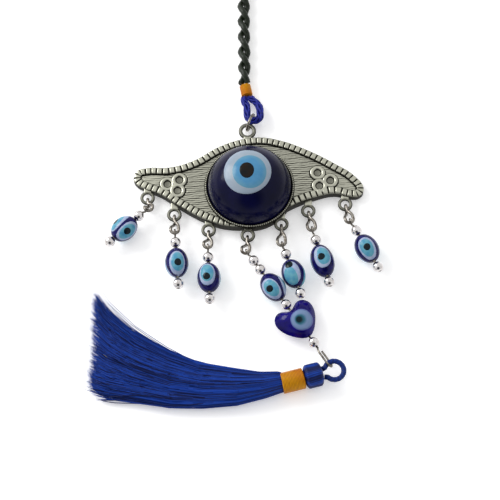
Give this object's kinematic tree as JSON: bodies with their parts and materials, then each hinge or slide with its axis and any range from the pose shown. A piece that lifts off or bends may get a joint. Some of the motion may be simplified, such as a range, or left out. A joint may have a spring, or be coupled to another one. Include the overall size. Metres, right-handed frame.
{
  "type": "evil eye ornament",
  "caption": "Hanging ornament: cast eye-shaped plate with a glass dome eye, bead dangles on its lower edge, a silk tassel and a twisted hanging cord.",
  "frame": {"origin": "centre of the flat back of the dome's cup, on the surface the ornament lies on", "axes": "+X right along the eye, +Y up towards the hanging cord, +Z out of the plate's face"},
  "size_m": [0.1069, 0.2005, 0.0183],
  "materials": {
    "antique_silver": "antiqued cast zinc alloy, satin with dark recesses",
    "bright_silver": "bright silver plate",
    "wire_silver": "dulled silver plated wire",
    "navy_glass": "opaque navy glass, glossy",
    "white_glass": "opaque bluish white glass, glossy",
    "sky_glass": "opaque sky blue glass, glossy",
    "black_glass": "opaque near-black glass, glossy",
    "bead_glass": "opaque navy lampwork glass, glossy",
    "heart_glass": "opaque violet-blue glass, glossy",
    "blue_silk": "royal blue rayon thread, soft sheen",
    "loop_silk": "deep blue rayon thread",
    "yellow_thread": "yellow-orange binding thread",
    "black_cord": "black-green satin cord"
  },
  "bodies": {
    "eye_plate": {"eye_frame": "antique_silver", "bezel_ring": "antique_silver", "glass_dome": "navy_glass", "dome_white": "white_glass", "dome_iris": "sky_glass", "dome_pupil": "black_glass"},
    "top_ring": {"top_ring": "wire_silver"},
    "hanger": {"hanger_loop": "loop_silk", "hanger_wrap": "yellow_thread", "hanger_cord": "black_cord"},
    "link_1": {"link_1": "wire_silver"},
    "pin_1": {"pin_1": "wire_silver", "top_bead_1": "bright_silver", "end_bead_1": "bright_silver"},
    "eye_bead_1": {"eye_bead_1": "bead_glass"},
    "link_2": {"link_2": "wire_silver"},
    "pin_2": {"pin_2": "wire_silver", "top_bead_2": "bright_silver", "end_bead_2": "bright_silver"},
    "eye_bead_2": {"eye_bead_2": "bead_glass"},
    "link_3": {"link_3": "wire_silver"},
    "pin_3": {"pin_3": "wire_silver", "top_bead_3": "bright_silver", "end_bead_3": "bright_silver"},
    "eye_bead_3": {"eye_bead_3": "bead_glass"},
    "link_4": {"link_4": "wire_silver"},
    "pin_4": {"pin_4": "wire_silver", "top_bead_4": "bright_silver", "second_bead_4": "bright_silver", "mid_bead_4": "bright_silver", "heart_end_bead": "bright_silver"},
    "eye_bead_4": {"eye_bead_4": "bead_glass"},
    "link_5": {"link_5": "wire_silver"},
    "pin_5": {"pin_5": "wire_silver", "top_bead_5": "bright_silver", "end_bead_5": "bright_silver"},
    "eye_bead_5": {"eye_bead_5": "bead_glass"},
    "link_6": {"link_6": "wire_silver"},
    "pin_6": {"pin_6": "wire_silver", "top_bead_6": "bright_silver", "end_bead_6": "bright_silver"},
    "eye_bead_6": {"eye_bead_6": "bead_glass"},
    "link_7": {"link_7": "wire_silver"},
    "pin_7": {"pin_7": "wire_silver", "top_bead_7": "bright_silver", "end_bead_7": "bright_silver"},
    "eye_bead_7": {"eye_bead_7": "bead_glass"},
    "heart": {"heart_bead": "heart_glass"},
    "tassel": {"tassel_loop": "blue_silk", "tassel_head": "blue_silk", "tassel_wrap": "yellow_thread", "tassel_skirt": "blue_silk"}
  },
  "joints": [
    {"name": "top_ring_swing", "type": "hinge", "parent": "eye_plate", "child": "top_ring", "pos_m": [-0.0008, 0.0243, 0.0022], "axis": [0, 0, 1], "range_deg": [-20, 20]},
    {"name": "hanger_swing", "type": "hinge", "parent": "top_ring", "child": "hanger", "pos_m": [0.00169, 0.03025, 0.0039], "axis": [0, 0, 1], "range_deg": [-35, 35]},
    {"name": "link_1_swing", "type": "hinge", "parent": "eye_plate", "child": "link_1", "pos_m": [-0.0386, -0.004, 0.0022], "axis": [0, 0, 1], "range_deg": [-20, 39]},
    {"name": "pin_1_lift", "type": "hinge", "parent": "link_1", "child": "pin_1", "pos_m": [-0.03901, -0.00971, 0.00435], "axis": [-0.7071, 0.7071, 0], "range_deg": [-60, 75]},
    {"name": "eye_bead_1_spin", "type": "hinge", "parent": "pin_1", "child": "eye_bead_1", "pos_m": [-0.04608, -0.01679, 0.00435], "axis": [-0.7071, -0.7071, 0], "continuous": true},
    {"name": "link_2_swing", "type": "hinge", "parent": "eye_plate", "child": "link_2", "pos_m": [-0.0283, -0.0109, 0.0022], "axis": [0, 0, 1], "range_deg": [-20, 8]},
    {"name": "pin_2_lift", "type": "hinge", "parent": "link_2", "child": "pin_2", "pos_m": [-0.02782, -0.01929, 0.00435], "axis": [-0.9969, -0.0785, 0], "range_deg": [-60, 75]},
    {"name": "eye_bead_2_spin", "type": "hinge", "parent": "pin_2", "child": "eye_bead_2", "pos_m": [-0.02704, -0.02925, 0.00435], "axis": [0.0785, -0.9969, 0], "continuous": true},
    {"name": "link_3_swing", "type": "hinge", "parent": "eye_plate", "child": "link_3", "pos_m": [-0.0153, -0.0172, 0.0022], "axis": [0, 0, 1], "range_deg": [-8, 15]},
    {"name": "pin_3_lift", "type": "hinge", "parent": "link_3", "child": "pin_3", "pos_m": [-0.01546, -0.02519, 0.00435], "axis": [-0.999, -0.0436, 0], "range_deg": [-60, 75]},
    {"name": "eye_bead_3_spin", "type": "hinge", "parent": "pin_3", "child": "eye_bead_3", "pos_m": [-0.01503, -0.03519, 0.00435], "axis": [0.0436, -0.999, 0], "continuous": true},
    {"name": "link_4_swing", "type": "hinge", "parent": "eye_plate", "child": "link_4", "pos_m": [-0.0006, -0.0193, 0.0022], "axis": [0, 0, 1], "range_deg": [-3, 0.5]},
    {"name": "pin_4_lift", "type": "hinge", "parent": "link_4", "child": "pin_4", "pos_m": [-0.00057, -0.02719, 0.00435], "axis": [-0.8261, -0.5635, 0], "range_deg": [-60, 75]},
    {"name": "eye_bead_4_spin", "type": "hinge", "parent": "pin_4", "child": "eye_bead_4", "pos_m": [0.00506, -0.03545, 0.00435], "axis": [0.5635, -0.8261, 0], "continuous": true},
    {"name": "link_5_swing", "type": "hinge", "parent": "eye_plate", "child": "link_5", "pos_m": [0.012, -0.0147, 0.0022], "axis": [0, 0, 1], "range_deg": [0, 6]},
    {"name": "pin_5_lift", "type": "hinge", "parent": "link_5", "child": "pin_5", "pos_m": [0.0124, -0.02422, 0.00435], "axis": [-0.9483, -0.3173, 0], "range_deg": [-60, 75]},
    {"name": "eye_bead_5_spin", "type": "hinge", "parent": "pin_5", "child": "eye_bead_5", "pos_m": [0.01558, -0.0337, 0.00435], "axis": [0.3173, -0.9483, 0], "continuous": true},
    {"name": "link_6_swing", "type": "hinge", "parent": "eye_plate", "child": "link_6", "pos_m": [0.0222, -0.0093, 0.0022], "axis": [0, 0, 1], "range_deg": [-5, 16]},
    {"name": "pin_6_lift", "type": "hinge", "parent": "link_6", "child": "pin_6", "pos_m": [0.02364, -0.01817, 0.00435], "axis": [-0.9636, -0.2672, 0], "range_deg": [-60, 75]},
    {"name": "eye_bead_6_spin", "type": "hinge", "parent": "pin_6", "child": "eye_bead_6", "pos_m": [0.02632, -0.02781, 0.00435], "axis": [0.2672, -0.9636, 0], "continuous": true},
    {"name": "link_7_swing", "type": "hinge", "parent": "eye_plate", "child": "link_7", "pos_m": [0.0362, -0.0066, 0.0022], "axis": [0, 0, 1], "range_deg": [-15, 30]},
    {"name": "pin_7_lift", "type": "hinge", "parent": "link_7", "child": "pin_7", "pos_m": [0.03819, -0.01491, 0.00435], "axis": [-0.887, -0.4617, 0], "range_deg": [-60, 75]},
    {"name": "eye_bead_7_spin", "type": "hinge", "parent": "pin_7", "child": "eye_bead_7", "pos_m": [0.0428, -0.02378, 0.00435], "axis": [0.4617, -0.887, 0], "continuous": true},
    {"name": "heart_spin", "type": "hinge", "parent": "pin_4", "child": "heart", "pos_m": [0.01802, -0.05445, 0.00435], "axis": [0.5635, -0.8261, 0], "continuous": true},
    {"name": "tassel_swing", "type": "hinge", "parent": "pin_4", "child": "tassel", "pos_m": [0.03045, -0.07267, 0.00435], "axis": [0, 0, 1], "range_deg": [-10, 130]}
  ]
}
